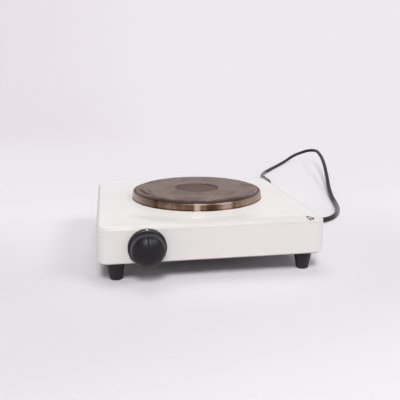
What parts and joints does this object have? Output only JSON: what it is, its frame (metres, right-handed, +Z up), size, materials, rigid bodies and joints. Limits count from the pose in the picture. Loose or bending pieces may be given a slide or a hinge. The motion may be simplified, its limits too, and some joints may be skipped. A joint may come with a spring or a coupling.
{
  "type": "portable hot plate",
  "caption": "Free-standing electric hot plate with an enamelled steel body, a round cast-iron cooking plate in a spill ring, a rotary heat knob and a mains cord.",
  "frame": {"origin": "on the surface it stands on, under the middle of the body with its knob", "axes": "+X to the right seen from the knob side, +Y to the back, +Z up"},
  "size_m": [0.5928, 0.8841, 0.0825],
  "materials": {
    "enamel": "gloss white enamel, a few small chips",
    "base_steel": "dull grey sheet",
    "foot_plastic": "black moulded feet",
    "zinc_steel": "zinc-plated fasteners and brackets",
    "cast_iron": "machined, browned by heat",
    "stained_steel": "stainless, straw and bronze heat stains",
    "resistance_wire": "oxidised alloy",
    "filler": "pressed magnesia",
    "cover_steel": "aluminised sheet",
    "ceramic": "unglazed steatite",
    "brass": "plain brass",
    "phenolic": "brown phenolic moulding",
    "knob_plastic": "black phenolic, worn satin",
    "cord_rubber": "black rubber",
    "grip_plastic": "natural nylon",
    "insulation_brown": "heat-proof sleeve",
    "insulation_black": "heat-proof sleeve",
    "insulation_blue": "heat-proof sleeve",
    "insulation_earth": "green and yellow",
    "nickel": "nickel-plated"
  },
  "bodies": {
    "housing": {"body_shell": "enamel", "base_plate": "base_steel", "foot_front_left": "foot_plastic", "foot_front_right": "foot_plastic", "foot_rear_left": "foot_plastic", "foot_rear_right": "foot_plastic", "foot_screws": "zinc_steel", "foot_nuts": "zinc_steel", "cooking_plate": "cast_iron", "spill_ring": "stained_steel", "heating_spirals": "resistance_wire", "element_filler": "filler", "plate_cover": "cover_steel", "plate_stud": "zinc_steel", "clamp_yoke": "zinc_steel", "clamp_washer": "zinc_steel", "clamp_nut": "zinc_steel", "plate_connector": "ceramic", "connector_tabs": "brass", "regulator_bracket": "zinc_steel", "shaft_bush": "brass", "regulator_body": "phenolic", "regulator_tabs": "brass", "regulator_screws": "zinc_steel", "cord_gland": "cord_rubber", "cord_tail": "cord_rubber", "cord_saddle": "grip_plastic", "cord_clamp": "grip_plastic", "saddle_screws": "zinc_steel", "terminal_block": "ceramic", "terminal_screws": "brass", "block_screws": "zinc_steel", "earth_screw": "zinc_steel", "earth_nut": "zinc_steel", "earth_tag": "brass", "core_live": "insulation_brown", "core_neutral": "insulation_blue", "core_earth": "insulation_earth", "wire_live": "insulation_brown", "wire_switched": "insulation_black", "wire_neutral": "insulation_blue", "wire_earth": "insulation_earth", "mains_cord": "cord_rubber", "plug_body": "cord_rubber", "plug_pins": "nickel", "plug_clips": "nickel"},
    "control": {"knob": "knob_plastic", "knob_clip": "zinc_steel", "control_shaft": "zinc_steel"}
  },
  "joints": [
    {"name": "knob_turn", "type": "hinge", "parent": "housing", "child": "control", "pos_m": [-0.0815, -0.12375, 0.045], "axis": [0, 1, 0], "range_deg": [0, 308]}
  ]
}
